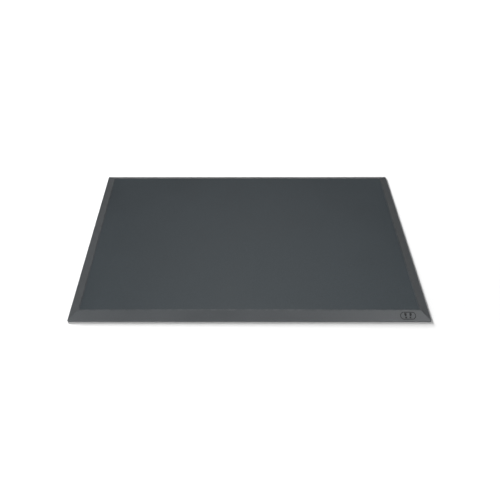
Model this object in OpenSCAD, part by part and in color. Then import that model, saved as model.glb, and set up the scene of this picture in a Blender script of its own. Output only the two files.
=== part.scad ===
// Anti-fatigue standing mat: a cushioned field inside four bevelled, mitred ramps.
// The mat lies on z = 0 with its middle over the origin. X runs along its long side,
// and the front edge, which carries the emblem, faces -Y. Lengths are in millimetres.

/* [Mat] */
// Long side of the mat, along X
mat_length = 914; // [600:1:1530]
// Short side of the mat, along Y
mat_width = 610; // [400:1:915]
// Height of the standing face over the floor
mat_thickness = 16; // [13:0.5:22]
// Radius of the four outer corners, seen from above
corner_radius = 3; // [1:0.5:8]

/* [Ramps] */
// Horizontal run of the sloping face
slope_run = 25; // [22:1:40]
// Height of the upright lip at the foot of the slope
lip_height = 3; // [2:0.5:5]
// Flat border between the top of the slope and the wear surface
land_width = 3; // [2:0.5:6]
// Ledge that carries the edge of the wear surface
ledge_width = 6; // [4:1:12]
// Lap of the base sheet under the ramp
base_lap = 14; // [8:1:20]
// Rounding of the shoulder, where the slope meets the border
shoulder_radius = 3; // [1:0.5:8]
// Rounding of the lip's top edge
lip_radius = 1; // [0.5:0.25:1.5]

/* [Layers] */
// Thickness of the grained wear surface
wear_thickness = 2; // [1.5:0.25:3]
// Thickness of the base sheet
base_thickness = 2; // [1.5:0.25:3]
// Share of the foam's height that the soft upper layer takes
soft_share = 0.5; // [0.3:0.1:0.7]

/* [Suction cups] */
// Diameter of a cup in the underside
cup_diameter = 24; // [12:1:30]
// Depth of a cup
cup_depth = 1; // [0.5:0.1:1.2]
// Distance between cups in a row
cup_pitch = 42; // [36:1:60]
// Rim left clear of cups at the edge of the base sheet
cup_margin = 12; // [6:1:30]

/* [Emblem] */
// Distance from the mat's right-hand edge to the middle of the emblem
emblem_inset = 58; // [52:1:200]
// Length of the emblem's outline, along the ramp
emblem_length = 40; // [34:1:50]
// Height of the emblem's outline, up the slope
emblem_height = 20; // [20:1:22]
// Depth of the pocket that holds the emblem
pocket_depth = 1.2; // [1:0.1:1.5]
// Thickness of the emblem, which lies below the ramp's face
emblem_thickness = 0.8; // [0.5:0.1:0.9]

/* [Hidden] */

// Distances in from the mat's outer edge to the edge of each layer
field_inset = slope_run + land_width;
core_inset = field_inset + ledge_width;
base_inset = core_inset - base_lap;

wear_bottom = mat_thickness - wear_thickness;
core_height = wear_bottom - base_thickness;
soft_height = core_height * soft_share;
soft_bottom = wear_bottom - soft_height;

slope_rise = mat_thickness - lip_height;
slope_angle = atan(slope_rise / slope_run);

// Cups stand in staggered rows, so the rows lie closer than the cups in a row
row_pitch = cup_pitch * sin(60);
cups_long = mat_length - 2 * (base_inset + cup_margin) - cup_diameter;
cups_wide = mat_width - 2 * (base_inset + cup_margin) - cup_diameter;
cup_count = floor(cups_long / cup_pitch);
row_count = floor(cups_wide / row_pitch);

// The emblem is the outline of a pill around a pair of shoe prints. Each print is a sole, which
// narrows from the ball of the foot to the waist, and a heel with a flatter front. The y values
// go up the slope, and each print is turned about its middle, toes outwards.
stroke = 2.2;
print_spacing = 6;
toe_out = 8;
ball_radius = 3.2;
ball_y = 4;
waist_radius = 2.24;
waist_y = 0.6;
heel_radius = 2.4;
heel_y = -4.8;
heel_front_y = -3.3;
heel_front_rise = 0.35;

// Steps in the arc of a rounded corner, sides of the large circles, and sides
// of the small circles in the shoe prints
round_steps = 6;
large_sides = 48;
small_sides = 32;

rubber = "#424a4f";
rubber_ramp = "#494c4f";
rubber_base = "#2e3133";
foam_soft = "#5d6468";
foam_firm = "#383d40";
ink = "#1e2022";

function unit(v) = v / norm(v);

// Points of the arc that rounds a corner between its two neighbours
function fillet(before, corner, after, radius) =
    let (
        u = unit(before - corner),
        v = unit(after - corner),
        half = acos(u * v) / 2,
        centre = corner + unit(u + v) * radius / sin(half),
        first = corner + u * radius / tan(half) - centre,
        last = corner + v * radius / tan(half) - centre,
        turn = acos(unit(first) * unit(last))
    )
    [
        for (step = [0 : round_steps])
            centre + (
                first * sin(turn * (1 - step / round_steps))
                + last * sin(turn * step / round_steps)
            ) / sin(turn)
    ];

// Cross-section of a ramp: x runs in from the mat's edge and y is the height
module ramp_section() {
    foot = [0, 0];
    lip = [0, lip_height];
    shoulder = [slope_run, mat_thickness];
    border = [field_inset, mat_thickness];
    polygon([
        foot,
        each fillet(foot, lip, shoulder, lip_radius),
        each fillet(lip, shoulder, border, shoulder_radius),
        border,
        [field_inset, wear_bottom],
        [core_inset, wear_bottom],
        [core_inset, base_thickness],
        [base_inset, base_thickness],
        [base_inset, 0],
    ]);
}

// Plan of the mat along one edge, which lies on y = 0, with the two outer corners rounded
module edge_outline(length) {
    left = [-length / 2, 0];
    right = [length / 2, 0];
    up = [0, core_inset * 2];
    polygon([
        each fillet(left + up, left, right, corner_radius),
        each fillet(left, right, right + up, corner_radius),
        right + up,
        left + up,
    ]);
}

// Plan of one ramp: a strip whose two ends are cut at 45 degrees
module mitred_plan(length) {
    intersection() {
        edge_outline(length);
        polygon([
            [-length / 2, 0],
            [length / 2, 0],
            [length / 2 - core_inset, core_inset],
            [core_inset - length / 2, core_inset],
        ]);
    }
}

// One ramp with its outer face on y = 0 and its slope rising towards +Y
module ramp(length) {
    intersection() {
        rotate([90, 0, 90])
            linear_extrude(height = length, center = true)
                ramp_section();
        linear_extrude(height = mat_thickness)
            mitred_plan(length);
    }
}

// Moves a ramp out to one side of the mat, turned about the middle
module at_side(turn, distance) {
    rotate([0, 0, turn])
        translate([0, -distance, 0])
            children();
}

// Sheet of one layer, centred, its edge the same distance in from the mat's edge all round
module layer(inset, bottom, height) {
    translate([0, 0, bottom])
        linear_extrude(height = height)
            square([mat_length - 2 * inset, mat_width - 2 * inset], center = true);
}

// Frame with its origin on the front slope, x along the ramp, y up the slope and z out of it
module on_front_slope() {
    translate([
        mat_length / 2 - emblem_inset,
        slope_run / 2 - mat_width / 2,
        lip_height + slope_rise / 2
    ])
        rotate([slope_angle, 0, 0])
            children();
}

module pill(length, height) {
    reach = (length - height) / 2;
    square([2 * reach, height], center = true);
    for (side = [-1, 1])
        translate([side * reach, 0])
            circle(d = height, $fn = large_sides);
}

module shoe_print() {
    hull() {
        translate([0, ball_y])
            circle(r = ball_radius, $fn = small_sides);
        translate([0, waist_y])
            circle(r = waist_radius, $fn = small_sides);
    }
    hull() {
        translate([0, heel_y])
            circle(r = heel_radius, $fn = small_sides);
        translate([0, heel_front_y])
            scale([1, heel_front_rise])
                circle(r = heel_radius, $fn = small_sides);
    }
}

module emblem_shape() {
    difference() {
        pill(emblem_length, emblem_height);
        pill(emblem_length - 2 * stroke, emblem_height - 2 * stroke);
    }
    for (side = [-1, 1])
        translate([side * print_spacing, 0])
            rotate(-side * toe_out)
                shoe_print();
}

// The emblem's strokes as solids that go down a depth below the ramp's face
module emblem_solid(top, bottom) {
    on_front_slope()
        translate([0, 0, -bottom])
            linear_extrude(height = bottom - top)
                emblem_shape();
}

// Cups of the underside, in staggered rows
module suction_cups() {
    for (row = [0 : row_count]) {
        shift = row % 2 == 0 ? 0 : cup_pitch / 2;
        last = row % 2 == 0 ? cup_count : cup_count - 1;
        for (cup = [0 : last])
            translate([
                (cup - cup_count / 2) * cup_pitch + shift,
                (row - row_count / 2) * row_pitch
            ])
                circle(d = cup_diameter, $fn = large_sides);
    }
}

module wear_surface() {
    color(rubber)
        layer(field_inset, wear_bottom, wear_thickness);
}

module comfort_core() {
    color(foam_soft)
        layer(core_inset, soft_bottom, soft_height);
}

module support_core() {
    color(foam_firm)
        layer(core_inset, base_thickness, core_height - soft_height);
}

module base_sheet() {
    color(rubber_base)
        difference() {
            layer(base_inset, 0, base_thickness);
            translate([0, 0, -cup_depth])
                linear_extrude(height = 2 * cup_depth)
                    suction_cups();
        }
}

module front_ramp() {
    color(rubber_ramp)
        difference() {
            at_side(0, mat_width / 2)
                ramp(mat_length);
            emblem_solid(-pocket_depth, pocket_depth);
        }
}

module back_ramp() {
    color(rubber_ramp)
        at_side(180, mat_width / 2)
            ramp(mat_length);
}

module left_ramp() {
    color(rubber_ramp)
        at_side(-90, mat_length / 2)
            ramp(mat_width);
}

module right_ramp() {
    color(rubber_ramp)
        at_side(90, mat_length / 2)
            ramp(mat_width);
}

module emblem() {
    color(ink)
        emblem_solid(pocket_depth - emblem_thickness, pocket_depth);
}

wear_surface();
comfort_core();
support_core();
base_sheet();
front_ramp();
back_ramp();
left_ramp();
right_ramp();
emblem();
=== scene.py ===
# %% [markdown]
# # A cushioned standing mat
#
# An anti-fatigue mat is a sandwich. A grained rubber sheet is stood on, two sheets of foam
# below it give way under the feet, and a rubber base grips the floor. Four sloping ramps,
# mitred at the corners like a picture frame, hold the stack and stop people from tripping.
#
# The CAD model gives the place and size of every layer. Each cell below builds one piece the
# way it could be made by hand in Blender: a primitive, a few edit-mode operators, and a
# finish made of shader nodes.

# %% Load the frame
import math

import bmesh
import bpy
from mathutils import Matrix, Vector


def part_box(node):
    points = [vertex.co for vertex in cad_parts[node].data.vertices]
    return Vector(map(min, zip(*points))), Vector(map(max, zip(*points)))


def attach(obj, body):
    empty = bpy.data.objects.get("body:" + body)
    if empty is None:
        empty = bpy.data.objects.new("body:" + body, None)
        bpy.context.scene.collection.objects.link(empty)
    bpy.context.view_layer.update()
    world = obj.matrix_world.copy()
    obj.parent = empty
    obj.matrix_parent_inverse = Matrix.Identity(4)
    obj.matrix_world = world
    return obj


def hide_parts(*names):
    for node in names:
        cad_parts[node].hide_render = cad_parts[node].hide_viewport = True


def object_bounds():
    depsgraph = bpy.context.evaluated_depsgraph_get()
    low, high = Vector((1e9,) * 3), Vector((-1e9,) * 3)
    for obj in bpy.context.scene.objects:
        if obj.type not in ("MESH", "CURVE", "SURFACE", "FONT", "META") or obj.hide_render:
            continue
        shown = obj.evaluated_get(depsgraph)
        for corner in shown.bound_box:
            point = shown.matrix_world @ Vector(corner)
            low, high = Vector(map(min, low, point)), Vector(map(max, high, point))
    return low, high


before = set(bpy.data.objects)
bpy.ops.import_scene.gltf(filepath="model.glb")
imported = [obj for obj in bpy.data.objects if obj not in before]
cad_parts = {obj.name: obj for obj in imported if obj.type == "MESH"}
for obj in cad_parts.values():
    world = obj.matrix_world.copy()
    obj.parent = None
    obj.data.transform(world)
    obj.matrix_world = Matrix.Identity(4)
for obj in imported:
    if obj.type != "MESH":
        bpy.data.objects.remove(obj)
cad_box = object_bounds()
MM = 0.001
print("CAD nodes:", ", ".join(sorted(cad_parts)))
print("CAD box in mm:", [round(side / MM, 1) for side in cad_box[1] - cad_box[0]])

# %% [markdown]
# ## The driving dimensions
#
# A layer's box says how far it sits in from the mat's edge, so the steps of the ramp's
# section can be read from the neighbours that the ramp holds. Only the slope and the small
# roundings are stated here, because no neighbour touches them.

# %% Read the layers' places
outer_low, outer_high = cad_box
mat_length = outer_high.x - outer_low.x
mat_width = outer_high.y - outer_low.y
mat_top = outer_high.z

wear_low, wear_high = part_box("wear_surface")
base_low, base_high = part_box("base_sheet")
core_low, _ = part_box("comfort_core")

field_inset = wear_low.y - outer_low.y
base_inset = base_low.y - outer_low.y
core_inset = core_low.y - outer_low.y
print("Insets in mm: field", round(field_inset / MM, 1), "base", round(base_inset / MM, 1),
      "core", round(core_inset / MM, 1))

# %% State the ramp's slope and roundings
slope_run = 25 * MM
lip_height = 3 * MM
lip_radius = 1 * MM
shoulder_radius = 3 * MM
corner_radius = 3 * MM
seam_chamfer = 0.3 * MM

slope_rise = mat_top - lip_height
slope_angle = math.atan(slope_rise / slope_run)
slope_normal = Vector((0, -math.sin(slope_angle), math.cos(slope_angle)))
print("The ramps slope at", round(math.degrees(slope_angle), 1), "degrees")

# %% [markdown]
# ## Small tools for modelling by hand
#
# An operator acts on whatever is selected. These helpers do what the mouse would do: clear
# the selection, start a block, pick faces or edges by where they are, cut with a plane, ease
# the corners of a piece, and carve one piece with another.

# %% Clear the selection, or work on one piece alone
def nothing_selected():
    if bpy.context.object and bpy.context.object.mode != "OBJECT":
        bpy.ops.object.mode_set(mode="OBJECT")
    bpy.ops.object.select_all(action="DESELECT")


def work_on(piece):
    nothing_selected()
    piece.select_set(True)
    bpy.context.view_layer.objects.active = piece


# %% Start a block and apply its size
def start_block(name, low, high):
    nothing_selected()
    low, high = Vector(low), Vector(high)
    bpy.ops.mesh.primitive_cube_add(size=1, location=(low + high) / 2)
    block = bpy.context.object
    block.name = name
    block.scale = high - low
    bpy.ops.object.transform_apply(location=True, rotation=True, scale=True)
    return block


# %% Pick faces and edges by their place
TINY = 1e-6
FACING = 0.9


def near(a, b):
    return abs(a - b) < 2 * TINY


def pick(kind, test):
    bpy.ops.mesh.select_mode(type=kind)
    bpy.ops.mesh.select_all(action="DESELECT")
    shape = bmesh.from_edit_mesh(bpy.context.object.data)
    shape.normal_update()
    found = [part for part in (shape.faces if kind == "FACE" else shape.edges) if test(part)]
    for part in found:
        part.select_set(True)
    bmesh.update_edit_mesh(bpy.context.object.data)
    return len(found)


def pick_faces(test):
    return pick("FACE", lambda face: test(face.calc_center_median(), face.normal))


def pick_edges(test):
    return pick("EDGE", lambda edge: test(edge.verts[0].co, edge.verts[1].co))


# %% Cut, bevel and extrude what is picked
def cut(point, normal, drop_outside=False):
    bpy.ops.mesh.select_all(action="SELECT")
    bpy.ops.mesh.bisect(plane_co=point, plane_no=normal, use_fill=drop_outside,
                        clear_outer=drop_outside, threshold=TINY)


def round_edges(width, segments):
    bpy.ops.mesh.bevel(offset=width, offset_type="OFFSET", segments=segments, affect="EDGES")


def pull(offset):
    bpy.ops.mesh.extrude_region_move(TRANSFORM_OT_translate={"value": offset})


# %% Ease the sharp corners of a whole piece, and carve one piece with another
sharp = math.radians(60)


def ease_corners(piece, name, width, segments):
    work_on(piece)
    bevel = piece.modifiers.new(name, "BEVEL")
    bevel.width = width
    bevel.segments = segments
    bevel.limit_method = "ANGLE"
    bevel.angle_limit = sharp
    bpy.ops.object.modifier_apply(modifier=bevel.name)


def carve(piece, name, cutter):
    work_on(piece)
    hollow = piece.modifiers.new(name, "BOOLEAN")
    hollow.object = cutter
    hollow.operation = "DIFFERENCE"
    hollow.solver = "MANIFOLD"
    bpy.ops.object.modifier_apply(modifier=hollow.name)
    bpy.data.objects.remove(cutter)


# %% Finish a piece: outward faces, smooth shading, and its place in the frame
smooth_below = math.radians(30)


def finish_piece(piece, material, nodes):
    work_on(piece)
    bpy.ops.object.transform_apply(location=True, rotation=True, scale=True)
    bpy.ops.object.mode_set(mode="EDIT")
    bpy.ops.mesh.select_all(action="SELECT")
    bpy.ops.mesh.remove_doubles(threshold=TINY)
    bpy.ops.mesh.normals_make_consistent(inside=False)
    bpy.ops.object.mode_set(mode="OBJECT")
    bpy.ops.object.shade_smooth_by_angle(angle=smooth_below)
    steady = piece.modifiers.new("flat_faces_stay_flat", "WEIGHTED_NORMAL")
    steady.keep_sharp = True
    bpy.ops.object.modifier_apply(modifier=steady.name)
    piece.data.materials.clear()
    piece.data.materials.append(material)
    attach(piece, "root")
    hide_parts(*nodes)
    print(piece.name, "has", len(piece.data.polygons), "faces")


# %% [markdown]
# ## Shared surface effects
#
# Moulded rubber, cut foam and a polished edge are each one idea used on several pieces. Each
# idea is a shader group that is built once, with named inputs, and each finish places it
# with its own values. The groups put out heights and masks only, and the shader itself stays
# in the material. All of them work in the object's own metres, so a grain keeps its real
# size on every piece.

# %% Add a node, or a group with named sockets
def feed(tree, socket, value):
    if isinstance(value, bpy.types.NodeSocket):
        tree.links.new(value, socket)
    else:
        socket.default_value = value


def add(tree, kind, inputs=(), **settings):
    node = tree.nodes.new("ShaderNode" + kind)
    for name, value in settings.items():
        setattr(node, name, value)
    for socket, value in dict(inputs).items():
        feed(tree, node.inputs[socket], value)
    return node


def new_group(name, inputs, outputs):
    group = bpy.data.node_groups.new(name, "ShaderNodeTree")
    group.interface.new_socket("Position", in_out="INPUT", socket_type="NodeSocketVector")
    for socket, value in inputs.items():
        made = group.interface.new_socket(socket, in_out="INPUT", socket_type="NodeSocketFloat")
        made.default_value = value
    for socket in outputs:
        group.interface.new_socket(socket, in_out="OUTPUT", socket_type="NodeSocketFloat")
    return group, group.nodes.new("NodeGroupInput").outputs, group.nodes.new("NodeGroupOutput")


def place_group(tree, group, inputs):
    node = tree.nodes.new("ShaderNodeGroup")
    node.node_tree = group
    for socket, value in inputs.items():
        feed(tree, node.inputs[socket], value)
    return node.outputs


def maths(tree, operation, first, second=0.0):
    return add(tree, "Math", {0: first, 1: second}, operation=operation).outputs[0]


def ramp_between(tree, value, start, end):
    return add(tree, "MapRange", {"Value": value, "From Min": start, "From Max": end},
               interpolation_type="SMOOTHSTEP").outputs["Result"]


def tint(tree, share, first, second):
    node = add(tree, "Mix", {"Factor": share}, data_type="RGBA")
    for socket, colour in ((node.inputs[6], first), (node.inputs[7], second)):
        plain = not isinstance(colour, bpy.types.NodeSocket)
        feed(tree, socket, (*colour, 1) if plain else colour)
    return node.outputs[2]


# %% Pebble grain: small pillows with creases between them
def make_pebble_grain():
    group, given, result = new_group(
        "pebble_grain", {"Cell": 0.003, "Crease": 0.3, "Fine": 0.2}, ("Height", "Crease"))
    per_cell = maths(group, "DIVIDE", 1.0, given["Cell"])
    warp = add(group, "TexNoise", {
        "Vector": given["Position"], "Scale": maths(group, "MULTIPLY", per_cell, 0.5),
        "Detail": 1.0})
    centred = add(group, "VectorMath", {0: warp.outputs["Color"], 1: (0.5, 0.5, 0.5)},
                  operation="SUBTRACT")
    shift = add(group, "VectorMath", {0: centred.outputs[0], "Scale": given["Cell"]},
                operation="SCALE")
    moved = add(group, "VectorMath", {0: given["Position"], 1: shift.outputs[0]},
                operation="ADD")
    cells = add(group, "TexVoronoi", {
        "Vector": moved.outputs[0], "Scale": per_cell, "Randomness": 0.8},
        feature="DISTANCE_TO_EDGE")
    pillow = ramp_between(group, cells.outputs["Distance"], start=0.0, end=given["Crease"])
    fine = add(group, "TexNoise", {
        "Vector": given["Position"], "Scale": maths(group, "MULTIPLY", per_cell, 6.0),
        "Detail": 2.0})
    broad = maths(group, "MULTIPLY", pillow, maths(group, "SUBTRACT", 1.0, given["Fine"]))
    small = maths(group, "MULTIPLY", fine.outputs["Fac"], given["Fine"])
    group.links.new(maths(group, "ADD", broad, small), result.inputs["Height"])
    group.links.new(maths(group, "SUBTRACT", 1.0, pillow), result.inputs["Crease"])
    return group


pebble_grain = make_pebble_grain()


# %% Slow mottle: the faint unevenness of a large moulding
def make_slow_mottle():
    group, given, result = new_group("slow_mottle", {"Size": 0.15}, ("Mask",))
    clouds = add(group, "TexNoise", {
        "Vector": given["Position"], "Scale": maths(group, "DIVIDE", 1.0, given["Size"]),
        "Detail": 4.0, "Roughness": 0.55})
    group.links.new(ramp_between(group, clouds.outputs["Fac"], start=0.3, end=0.7),
                    result.inputs["Mask"])
    return group


slow_mottle = make_slow_mottle()


# %% Scuffs: short light rubs where shoes turn
def make_scuffs():
    group, given, result = new_group("scuffs", {"Size": 0.03, "Amount": 0.3}, ("Mask",))
    along = add(group, "Mapping", {
        "Vector": given["Position"], "Rotation": (0, 0, math.radians(25)),
        "Scale": (1, 7, 1)})
    rubs = add(group, "TexNoise", {
        "Vector": along.outputs["Vector"],
        "Scale": maths(group, "DIVIDE", 1.0, given["Size"]), "Detail": 5.0,
        "Roughness": 0.7})
    patches = add(group, "TexNoise", {
        "Vector": given["Position"],
        "Scale": maths(group, "DIVIDE", 0.2, given["Size"]), "Detail": 1.0})
    strokes = ramp_between(group, rubs.outputs["Fac"], start=0.58, end=0.75)
    where = ramp_between(group, patches.outputs["Fac"], start=0.5, end=0.7)
    both = maths(group, "MULTIPLY", strokes, where)
    group.links.new(maths(group, "MULTIPLY", both, given["Amount"]), result.inputs["Mask"])
    return group


scuffs = make_scuffs()


# %% Edge rub: the polish along an edge at a known height over the floor
def make_edge_rub():
    group, given, result = new_group("edge_rub", {"Edge Height": 0.016, "Reach": 0.002},
                                     ("Mask",))
    height = add(group, "SeparateXYZ", {0: given["Position"]}).outputs["Z"]
    away = maths(group, "ABSOLUTE", maths(group, "SUBTRACT", height, given["Edge Height"]))
    closeness = maths(group, "SUBTRACT", 1.0, maths(group, "DIVIDE", away, given["Reach"]))
    uneven = add(group, "TexNoise", {"Vector": given["Position"], "Scale": 60.0,
                                     "Detail": 3.0})
    broken = ramp_between(group, uneven.outputs["Fac"], start=0.35, end=0.65)
    clear = add(group, "Clamp", {0: closeness}).outputs[0]
    group.links.new(maths(group, "MULTIPLY", clear, broken), result.inputs["Mask"])
    return group


edge_rub = make_edge_rub()


# %% Foam cells: round pits of two sizes, as on a cut face
def make_foam_cells():
    group, given, result = new_group("foam_cells", {"Cell": 0.0012}, ("Height", "Pit"))
    per_cell = maths(group, "DIVIDE", 1.0, given["Cell"])
    large = add(group, "TexVoronoi", {"Vector": given["Position"], "Scale": per_cell})
    small = add(group, "TexVoronoi", {
        "Vector": given["Position"], "Scale": maths(group, "MULTIPLY", per_cell, 2.3)})
    wide = ramp_between(group, large.outputs["Distance"], start=0.15, end=0.5)
    narrow = ramp_between(group, small.outputs["Distance"], start=0.1, end=0.5)
    height = maths(group, "MULTIPLY", wide, narrow)
    group.links.new(height, result.inputs["Height"])
    group.links.new(maths(group, "SUBTRACT", 1.0, height), result.inputs["Pit"])
    return group


foam_cells = make_foam_cells()
print("Shader groups:", ", ".join(sorted(group.name for group in bpy.data.node_groups)))

# %% [markdown]
# ## The finishes
#
# Rubber is dark with a soft, wide highlight. Its grain is what makes the highlight wide, so
# the grain is a real height that tilts the normal, and the creases carry painted shade, a
# darker colour standing in for the shade where light doesn't reach. Every finish here is one
# of two kinds: moulded rubber, or cut foam.

# %% Start a material that works in the object's own coordinates
def new_material(name):
    material = bpy.data.materials.new(name)
    material.use_nodes = True
    tree = material.node_tree
    shader = tree.nodes["Principled BSDF"]
    position = tree.nodes.new("ShaderNodeTexCoord").outputs["Object"]
    return material, tree, shader, position


# %% Moulded rubber
def moulded_rubber(name, colour, cell, relief, roughness, crease=0.3, fine=0.2,
                   scuffing=0.3, rubbed_edges=()):
    material, tree, shader, position = new_material(name)
    grain = place_group(tree, pebble_grain, {
        "Position": position, "Cell": cell, "Crease": crease, "Fine": fine})
    mottle = place_group(tree, slow_mottle, {"Position": position, "Size": 0.18})["Mask"]
    marks = place_group(tree, scuffs, {"Position": position, "Amount": scuffing})["Mask"]
    for edge_height in rubbed_edges:
        rub = place_group(tree, edge_rub, {
            "Position": position, "Edge Height": edge_height, "Reach": 1.5 * MM})["Mask"]
        marks = maths(tree, "MAXIMUM", marks, maths(tree, "MULTIPLY", rub, 0.5))

    dark_patch, light_patch, painted_crease_shade, where_rubbed = (
        Vector(colour) * share for share in (0.94, 1.06, 0.6, 1.9))
    surface = tint(tree, mottle, dark_patch, light_patch)
    # Painted shade: the creases between the pebbles are darkened in the colour, standing in for
    # the shade that falls into them.
    painted_shade_share = maths(tree, "MULTIPLY", grain["Crease"], 0.5)
    with_crease_shade = tint(tree, painted_shade_share, surface, painted_crease_shade)
    how_light = maths(tree, "MULTIPLY", marks, 0.5)
    rubbed = tint(tree, how_light, with_crease_shade, where_rubbed)
    tree.links.new(rubbed, shader.inputs["Base Color"])

    spread = 0.06
    polish = 0.12
    calm = maths(tree, "ADD", roughness - spread / 2, maths(tree, "MULTIPLY", mottle, spread))
    polished = maths(tree, "SUBTRACT", calm, maths(tree, "MULTIPLY", marks, polish))
    tree.links.new(polished, shader.inputs["Roughness"])

    bump = add(tree, "Bump", {"Height": grain["Height"], "Distance": relief, "Strength": 1.0})
    tree.links.new(bump.outputs["Normal"], shader.inputs["Normal"])
    return material


# %% Cut foam
def cut_foam(name, colour, cell, relief):
    material, tree, shader, position = new_material(name)
    pits = place_group(tree, foam_cells, {"Position": position, "Cell": cell})
    mottle = place_group(tree, slow_mottle, {"Position": position, "Size": 0.08})["Mask"]
    dark_patch, light_patch, painted_pit_shade = (Vector(colour) * share for share in (0.9, 1.1, 0.4))
    skin = tint(tree, mottle, dark_patch, light_patch)
    # Painted shade: the pits are darkened in the colour, standing in for the shade inside them.
    painted_shade_share = maths(tree, "MULTIPLY", pits["Pit"], 0.7)
    with_pit_shade = tint(tree, painted_shade_share, skin, painted_pit_shade)
    tree.links.new(with_pit_shade, shader.inputs["Base Color"])
    skin_roughness = 0.82
    pit_extra = 0.12
    dull = maths(tree, "ADD", skin_roughness, maths(tree, "MULTIPLY", pits["Pit"], pit_extra))
    tree.links.new(dull, shader.inputs["Roughness"])
    bump = add(tree, "Bump", {"Height": pits["Height"], "Distance": relief, "Strength": 1.0})
    tree.links.new(bump.outputs["Normal"], shader.inputs["Normal"])
    return material


# %% Mix the six finishes
grained_rubber = moulded_rubber("grained_rubber", (0.056, 0.069, 0.078), cell=2.6 * MM,
                                relief=0.16 * MM, roughness=0.52, crease=0.42)
smooth_rubber = moulded_rubber("smooth_rubber", (0.067, 0.073, 0.078), cell=1.3 * MM,
                               relief=0.03 * MM, roughness=0.46, scuffing=0.2,
                               rubbed_edges=(lip_height, mat_top))
grip_rubber = moulded_rubber("grip_rubber", (0.027, 0.030, 0.032), cell=1.0 * MM,
                             relief=0.03 * MM, roughness=0.62)
inlay_rubber = moulded_rubber("inlay_rubber", (0.010, 0.011, 0.012), cell=0.8 * MM,
                              relief=0.01 * MM, roughness=0.72, scuffing=0.1)
soft_foam = cut_foam("open_foam", (0.11, 0.13, 0.14), cell=1.6 * MM, relief=0.25 * MM)
firm_foam = cut_foam("dense_foam", (0.040, 0.045, 0.050), cell=0.9 * MM, relief=0.15 * MM)
finishes = (grained_rubber, smooth_rubber, grip_rubber, inlay_rubber, soft_foam, firm_foam)
print("Finishes:", ", ".join(finish.name for finish in finishes))

# %% [markdown]
# ## The ramps
#
# A ramp is a long rubber extrusion with a stepped back. It could be drawn as an outline and
# extruded, but building it up from its foot shows what each step is for. The foot stands on
# the floor. Pulled from it, above the base sheet's lap, comes the body, and pulled from the
# body, between the foam's floor and the wear surface, comes the ledge. Then one plane cuts
# the slope, and the long edges are rounded while the ends are still square. The ends are cut
# last, at 45 degrees, and two shallow planes ease each end. A bevel would have to turn three
# corners in less than its own width there, and would fold over itself.

# %% Build one ramp, with its foot on y = 0 and its slope rising towards +Y
def ramp_blank(name, length):
    half = length / 2
    ramp = start_block(name, (-half, 0, 0), (half, base_inset, mat_top))
    bpy.ops.object.mode_set(mode="EDIT")
    pick_edges(lambda a, b: near(a.y, 0) and near(b.y, 0) and near(a.x, b.x))
    round_edges(corner_radius, segments=6)
    cut((0, 0, base_high.z), (0, 0, 1))
    cut((0, 0, wear_low.z), (0, 0, 1))
    pick_faces(lambda middle, normal: near(middle.y, base_inset) and middle.z > base_high.z)
    pull((0, field_inset - base_inset, 0))
    pick_faces(lambda middle, normal: near(middle.y, field_inset) and normal.y > FACING
               and middle.z < wear_low.z)
    pull((0, core_inset - field_inset, 0))
    cut((0, 0, lip_height), slope_normal, drop_outside=True)
    return ramp


# %% Round the lip, which runs round both corners, and then the shoulder and the inner edge
def on_slope(point):
    return abs((point - Vector((0, 0, lip_height))).dot(slope_normal)) < 2 * TINY


def along(y):
    return lambda a, b: (near(a.y, y) and near(b.y, y)
                         and near(a.z, mat_top) and near(b.z, mat_top))


def round_long_edges():
    pick_edges(lambda a, b: on_slope(a) and on_slope(b) and max(a.y, b.y) < corner_radius + TINY)
    round_edges(lip_radius * math.tan((math.pi / 2 - slope_angle) / 2), segments=4)
    pick_edges(along(slope_run))
    round_edges(shoulder_radius * math.tan(slope_angle / 2), segments=4)
    pick_edges(along(field_inset))
    round_edges(seam_chamfer, segments=1)


# %% Cut the ends, and ease the edges that meet at the mitre
def ease_edge(edge_point, first_normal, second_normal, width):
    between = (first_normal + second_normal).normalized()
    depth = width * math.sin(first_normal.angle(second_normal) / 2)
    cut(edge_point - between * depth, between, drop_outside=True)


def cut_ends(length):
    for side in (-1, 1):
        end = side * length / 2
        mitre_normal = Vector((side, 1, 0)).normalized()
        cut((end, 0, 0), mitre_normal, drop_outside=True)
        ease_edge(Vector((end, 0, lip_height)), mitre_normal, slope_normal, seam_chamfer)
        ease_edge(Vector((end, 0, mat_top)), mitre_normal, Vector((0, 0, 1)), seam_chamfer)


def shape_ramp(name, length):
    ramp = ramp_blank(name, length)
    round_long_edges()
    cut_ends(length)
    bpy.ops.object.mode_set(mode="OBJECT")
    return ramp


# %% Turn a ramp to its side of the mat
def place_ramp(node, length, turn, distance):
    ramp = shape_ramp(node + "_moulding", length)
    direction = Matrix.Rotation(turn, 3, "Z") @ Vector((0, -1, 0))
    ramp.rotation_euler.z = turn
    ramp.location = direction * distance
    return ramp


quarter = math.pi / 2
front_ramp = place_ramp("front_ramp", mat_length, 0, mat_width / 2)
back_ramp = place_ramp("back_ramp", mat_length, 2 * quarter, mat_width / 2)
left_ramp = place_ramp("left_ramp", mat_width, -quarter, mat_length / 2)
right_ramp = place_ramp("right_ramp", mat_width, quarter, mat_length / 2)
print("Ramps:", [round(ramp.dimensions.x / MM, 1) for ramp in
                 (front_ramp, back_ramp, left_ramp, right_ramp)])

# %% Finish the ramps that have no pocket
for ramp, node in ((back_ramp, "back_ramp"), (left_ramp, "left_ramp"),
                   (right_ramp, "right_ramp")):
    finish_piece(ramp, smooth_rubber, [node])

# %% [markdown]
# ## The emblem
#
# A small dark inlay sits in a pocket near the right-hand end of the front ramp. It is the
# outline of a pill around a pair of shoe prints, which says what the mat is for without a
# word. The same flat shapes serve twice. Thickened through the ramp's face, they cut the
# pocket, and thinner and lower than that face, they are the inlay.

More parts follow.
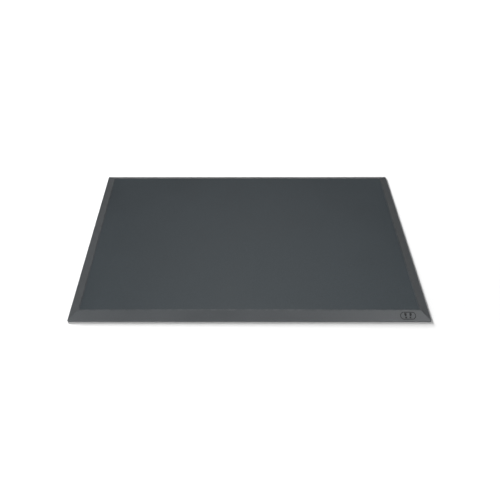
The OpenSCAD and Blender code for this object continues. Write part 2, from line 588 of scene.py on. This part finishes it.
# %% Read the emblem's place from its box, and state its sizes
emblem_low, emblem_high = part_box("emblem")
emblem_x = (emblem_low.x + emblem_high.x) / 2
emblem_length = emblem_high.x - emblem_low.x
emblem_height = 20 * MM
stroke = 2.2 * MM
print_spacing = 6 * MM
pocket_depth = 1.2 * MM
inlay_thickness = 0.8 * MM
emblem_place = Vector((emblem_x, outer_low.y + slope_run / 2, lip_height + slope_rise / 2))
print("Emblem", round(emblem_length / MM, 1), "mm long, at x =", round(emblem_x / MM, 1))


# %% Draw a flat disc, and reshape one half of it
def flat_disc(y, radius, corners):
    nothing_selected()
    bpy.ops.mesh.primitive_circle_add(vertices=corners, radius=radius, fill_type="NGON",
                                      location=(0, y, 0), rotation=(0, 0, math.pi / corners))
    bpy.ops.object.transform_apply(location=True, rotation=True)
    return bpy.context.object


def reshape_half(disc, test, offset, scale=(1, 1, 1), centre=(0, 0, 0)):
    bpy.ops.object.mode_set(mode="EDIT")
    bpy.ops.mesh.select_mode(type="VERT")
    bpy.ops.mesh.select_all(action="DESELECT")
    shape = bmesh.from_edit_mesh(disc.data)
    for corner in shape.verts:
        corner.select_set(test(corner.co))
    bmesh.update_edit_mesh(disc.data)
    bpy.ops.transform.resize(value=scale, center_override=centre)
    bpy.ops.transform.translate(value=offset)
    bpy.ops.object.mode_set(mode="OBJECT")


# %% Pull a disc into a pill, and keep its rim
def pill_ring():
    ring = flat_disc(0, emblem_height / 2, corners=64)
    reach = (emblem_length - emblem_height) / 2
    reshape_half(ring, lambda corner: corner.x > TINY, (reach, 0, 0))
    reshape_half(ring, lambda corner: corner.x < -TINY, (-reach, 0, 0))
    bpy.ops.object.mode_set(mode="EDIT")
    bpy.ops.mesh.select_all(action="SELECT")
    bpy.ops.mesh.inset(thickness=stroke)
    pick_faces(lambda middle, normal: middle.length < stroke)
    bpy.ops.mesh.delete(type="FACE")
    bpy.ops.object.mode_set(mode="OBJECT")
    return ring


# %% Join separate shapes into one
def join(pieces):
    nothing_selected()
    for piece in pieces:
        piece.select_set(True)
    bpy.context.view_layer.objects.active = pieces[0]
    bpy.ops.object.join()
    return bpy.context.object


# %% State a shoe print's sizes, where y goes up the slope from the middle of the print
ball_radius = 3.2 * MM
ball_y = 4.0 * MM
waist_share = 0.7
waist_drop = 3.4 * MM
heel_radius = 2.4 * MM
heel_y = -4.8 * MM
heel_front_share = 0.35
heel_front_rise = 1.5 * MM
toe_out = math.radians(8)
print_corners = 28


# %% Draw a shoe print: a sole that narrows to its waist, and a heel with a flatter front
def shoe_print(side):
    sole = flat_disc(ball_y, ball_radius, corners=print_corners)
    reshape_half(sole, lambda corner: corner.y < ball_y, (0, -waist_drop, 0),
                 scale=(waist_share, waist_share, 1), centre=(0, ball_y, 0))
    heel = flat_disc(heel_y, heel_radius, corners=print_corners)
    reshape_half(heel, lambda corner: corner.y > heel_y, (0, heel_front_rise, 0),
                 scale=(1, heel_front_share, 1), centre=(0, heel_y, 0))
    both = join([sole, heel])
    both.rotation_euler.z = -side * toe_out
    both.location.x = side * print_spacing
    bpy.ops.object.transform_apply(location=True, rotation=True)
    return both


# %% Thicken the emblem's shapes between two depths below the slope
def emblem_block(name, top, bottom):
    block = join([pill_ring(), shoe_print(-1), shoe_print(1)])
    block.name = name
    bpy.ops.object.mode_set(mode="EDIT")
    bpy.ops.mesh.select_all(action="SELECT")
    bpy.ops.transform.translate(value=(0, 0, -bottom))
    pull((0, 0, bottom - top))
    bpy.ops.mesh.select_all(action="SELECT")
    bpy.ops.mesh.normals_make_consistent(inside=False)
    bpy.ops.object.mode_set(mode="OBJECT")
    block.rotation_euler.x = slope_angle
    block.location = emblem_place
    bpy.ops.object.transform_apply(location=True, rotation=True)
    return block


# %% Score the ramp through each print, so that no face has a hole in it, and cut the pocket
pocket_tool = emblem_block("pocket_tool", -pocket_depth, pocket_depth)
work_on(front_ramp)
bpy.ops.object.transform_apply(location=True, rotation=True)
bpy.ops.object.mode_set(mode="EDIT")
for side in (-1, 1):
    cut((emblem_x + side * print_spacing, 0, 0), (1, 0, 0))
carve(front_ramp, "pocket", pocket_tool)
finish_piece(front_ramp, smooth_rubber, ["front_ramp"])

# %% Lay the inlay into it
inlay = emblem_block("emblem_inlay", pocket_depth - inlay_thickness, pocket_depth)
ease_corners(inlay, "eased_edges", width=0.15 * MM, segments=2)
finish_piece(inlay, inlay_rubber, ["emblem"])

# %% [markdown]
# ## The wear surface
#
# The sheet that is stood on is laid over foam, so it is never quite flat: its border is
# drawn down a little where it is glued to the ledge, and the middle rises and falls by a
# fraction of a millimetre. A fine grid, thickened by one extrusion, gives enough corners
# for both. The border is pulled down with proportional editing, and a cloud texture moves
# the rest.

# %% Start a sheet as a grid, thickened upwards
def start_sheet(name, low, high, spacing):
    nothing_selected()
    size = high - low
    bpy.ops.mesh.primitive_grid_add(
        x_subdivisions=round(size.x / spacing), y_subdivisions=round(size.y / spacing),
        size=1, location=((low.x + high.x) / 2, (low.y + high.y) / 2, low.z))
    sheet = bpy.context.object
    sheet.name = name
    sheet.scale = (size.x, size.y, 1)
    bpy.ops.object.transform_apply(location=True, scale=True)
    bpy.ops.object.mode_set(mode="EDIT")
    bpy.ops.mesh.select_all(action="SELECT")
    pull((0, 0, size.z))
    bpy.ops.mesh.select_all(action="SELECT")
    bpy.ops.mesh.normals_make_consistent(inside=False)
    bpy.ops.object.mode_set(mode="OBJECT")
    return sheet


# %% Draw its border down
border_drop = 0.35 * MM
border_reach = 16 * MM
wear_sheet = start_sheet("wear_sheet", wear_low, wear_high, spacing=6 * MM)


def on_rim(point):
    across = near(point.x, wear_low.x) or near(point.x, wear_high.x)
    along = near(point.y, wear_low.y) or near(point.y, wear_high.y)
    return near(point.z, wear_high.z) and (across or along)


bpy.ops.object.mode_set(mode="EDIT")
rim_edges = pick_edges(lambda a, b: on_rim(a) and on_rim(b))
bpy.ops.transform.translate(value=(0, 0, -border_drop), use_proportional_edit=True,
                            proportional_edit_falloff="SMOOTH",
                            proportional_size=border_reach, use_proportional_connected=True)
pick_faces(lambda middle, normal: normal.z < -FACING)
bpy.ops.transform.resize(value=(1, 1, 0), center_override=(0, 0, wear_low.z))
bpy.ops.object.mode_set(mode="OBJECT")
print("Rim edges drawn down:", rim_edges, "by", border_drop / MM, "mm")

# %% Let the middle rise and fall
top_corners = [corner.index for corner in wear_sheet.data.vertices
               if corner.co.z > wear_high.z - border_drop / 2]
wear_sheet.vertex_groups.new(name="top").add(top_corners, 1.0, "REPLACE")
clouds = bpy.data.textures.new("settled_foam", "CLOUDS")
clouds.noise_scale = 160 * MM
swell = wear_sheet.modifiers.new("settled_foam", "DISPLACE")
swell.texture = clouds
swell.texture_coords = "LOCAL"
swell.direction = "Z"
swell.vertex_group = "top"
swell.mid_level = 1.0
swell.strength = 0.3 * MM
bpy.ops.object.modifier_apply(modifier=swell.name)
ease_corners(wear_sheet, "eased_edge", width=0.4 * MM, segments=3)
finish_piece(wear_sheet, grained_rubber, ["wear_surface"])

# %% [markdown]
# ## The foam cores
#
# Two sheets of foam do the mat's work. The upper one is soft and open, and the lower one is
# firm and fine. They are cut from a block with a blade, so their faces are flat and their
# edges are a little rounded where the foam springs back from the cut.

# %% Cut both cores
def foam_core(name, node, material, spring_back):
    core = start_sheet(name, *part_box(node), spacing=18 * MM)
    ease_corners(core, "sprung_back_edge", spring_back, segments=3)
    finish_piece(core, material, [node])


foam_core("comfort_foam", "comfort_core", soft_foam, spring_back=1.2 * MM)
foam_core("support_foam", "support_core", firm_foam, spring_back=0.7 * MM)

# %% [markdown]
# ## The base sheet
#
# Shallow round cups in the underside hold the floor when the mat is pressed down. Their
# cutter is a disc, pulled up in steps and drawn in at each step, so that a cup's wall leans
# in and its roof is a dome. Arrays repeat it along a row and from row to row, once for the
# long rows and once for the rows between them, and one Boolean cuts every cup.

# %% Work out how many cups fit
cup_radius = 12 * MM
cup_margin = 12 * MM
cup_pitch = 42 * MM
row_pitch = cup_pitch * math.sin(math.radians(60))
room = base_high - base_low - Vector((1, 1, 0)) * 2 * (cup_margin + cup_radius)
cups_across = math.floor(room.x / cup_pitch) + 1
row_count = math.floor(room.y / row_pitch) + 1
print("Cups:", cups_across, "in a long row, in", row_count, "rows")

# %% Shape one cup cutter, whose steps are a height in mm and a share of the mouth's radius
cup_steps = ((0.3, 0.95), (0.8, 0.84), (1.0, 0.55))


def cup_cutter(place):
    nothing_selected()
    below = 0.5 * MM
    bpy.ops.mesh.primitive_circle_add(vertices=20, radius=cup_radius, fill_type="NGON",
                                      location=(0, 0, -below))
    cutter = bpy.context.object
    bpy.ops.object.transform_apply(location=True)
    bpy.ops.object.mode_set(mode="EDIT")
    bpy.ops.mesh.select_all(action="SELECT")
    pull((0, 0, below))
    height = 0.0
    width = 1.0
    for next_height, next_width in cup_steps:
        pull((0, 0, (next_height - height) * MM))
        bpy.ops.transform.resize(value=(next_width / width, next_width / width, 1),
                                 center_override=(0, 0, 0))
        height, width = next_height, next_width
    bpy.ops.mesh.select_all(action="SELECT")
    bpy.ops.transform.translate(value=place)
    bpy.ops.mesh.normals_make_consistent(inside=False)
    bpy.ops.object.mode_set(mode="OBJECT")
    return cutter


# %% Repeat it in staggered rows
def repeat(piece, count, step):
    row = piece.modifiers.new("row", "ARRAY")
    row.count = count
    row.use_relative_offset = False
    row.use_constant_offset = True
    row.constant_offset_displace = step
    bpy.ops.object.modifier_apply(modifier=row.name)


def cup_rows(across, rows):
    first = Vector((-(across - 1) / 2 * cup_pitch, -(rows - 1) * row_pitch, 0))
    cutters = cup_cutter(first)
    repeat(cutters, across, (cup_pitch, 0, 0))
    repeat(cutters, rows, (0, 2 * row_pitch, 0))
    return cutters


between_rows = row_count // 2
cups = join([cup_rows(cups_across, between_rows + 1), cup_rows(cups_across - 1, between_rows)])

# %% Score the pad along every row, so that no face has a hole in it, and cut the cups
base_pad = start_block("base_pad", base_low, base_high)
bpy.ops.object.mode_set(mode="EDIT")
for row in range(row_count):
    cut((0, (row - (row_count - 1) / 2) * row_pitch, 0), (0, 1, 0))
carve(base_pad, "cups", cups)
finish_piece(base_pad, grip_rubber, ["base_sheet"])

# %% [markdown]
# ## The studio
#
# A dark mat shows its shape by its highlights, so three wide panels are hung where they model
# it: one low at the front left, one higher at the front right, and a weak one over the back.
# A fourth panel is low behind the left-hand corner and is linked to the floor alone. It
# lifts the floor to white without greying the rubber, and the mat stands in its way, which
# leaves the soft shadow under the front and right-hand edges.

# %% Lay a pale floor that glows where the panels no longer reach
floor_side = 40
glow_start = 0.6
glow_full = 1.4
nothing_selected()
bpy.ops.mesh.primitive_plane_add(size=floor_side, location=(0, 0, outer_low.z))
floor = bpy.context.object
floor.name = "floor"
pale, tree, shader, position = new_material("pale_floor")
shader.inputs["Base Color"].default_value = (0.4, 0.4, 0.4, 1)
shader.inputs["Roughness"].default_value = 0.9
shader.inputs["Specular IOR Level"].default_value = 0.0
shader.inputs["Emission Color"].default_value = (1, 1, 1, 1)
from_middle = add(tree, "VectorMath", {0: position}, operation="LENGTH").outputs["Value"]
glow = ramp_between(tree, from_middle, glow_start, glow_full)
tree.links.new(glow, shader.inputs["Emission Strength"])
floor.data.materials.append(pale)

# %% Surround it with a dim light that looks white
world = bpy.data.worlds.new("surround")
world.use_nodes = True
bpy.context.scene.world = world
surround = world.node_tree.nodes["Background"].inputs
surround["Color"].default_value = (1, 1, 1, 1)
dimmed = 0.03
seen = add(world.node_tree, "LightPath").outputs["Is Camera Ray"]
lifted = maths(world.node_tree, "MULTIPLY", seen, 1 - dimmed)
world.node_tree.links.new(maths(world.node_tree, "ADD", lifted, dimmed), surround["Strength"])


# %% Hang the panels
def soft_panel(name, place, size, power):
    panel = bpy.data.lights.new(name, "AREA")
    panel.shape = "RECTANGLE"
    panel.size, panel.size_y = size
    panel.energy = power
    lamp = bpy.data.objects.new(name, panel)
    lamp.location = place
    lamp.rotation_euler = (-Vector(place)).to_track_quat("-Z", "Y").to_euler()
    bpy.context.scene.collection.objects.link(lamp)
    return lamp


wide = (1.3, 1.3)
soft_panel("front_left_panel", place=(-1.64, -1.64, 0.94), size=wide, power=53)
soft_panel("front_right_panel", place=(1.35, -1.35, 1.6), size=wide, power=34)
soft_panel("high_back_panel", place=(0, 1.25, 2.17), size=wide, power=14)
floor_panel = soft_panel("floor_panel", place=(-3.2, 4.7, 2.28), size=(1.2, 1.2), power=2030)

# %% Keep the fourth panel's light on the floor
floor_only = bpy.data.collections.new("floor_only")
floor_only.objects.link(floor)
floor_panel.light_linking.receiver_collection = floor_only

# %% [markdown]
# ## The camera
#
# The camera stands in front of the mat at the height of someone's chest and looks down at
# it. Its place is measured from the mat's front edge and its middle.

# %% Place the camera
stand_off = 0.8833
eye_height = 1.0857
eye_offset = -0.023
look_down = math.radians(43.46)
camera_data = bpy.data.cameras.new("camera")
camera_data.lens = 39.84
camera_data.sensor_width = 36
camera_data.shift_x = 0.0195
camera = bpy.data.objects.new("camera", camera_data)
camera.location = (eye_offset, outer_low.y - stand_off, outer_low.z + eye_height)
camera.rotation_euler = (math.pi / 2 - look_down, 0, 0)
bpy.context.scene.collection.objects.link(camera)
bpy.context.scene.camera = camera
bpy.context.scene.view_settings.view_transform = "Standard"
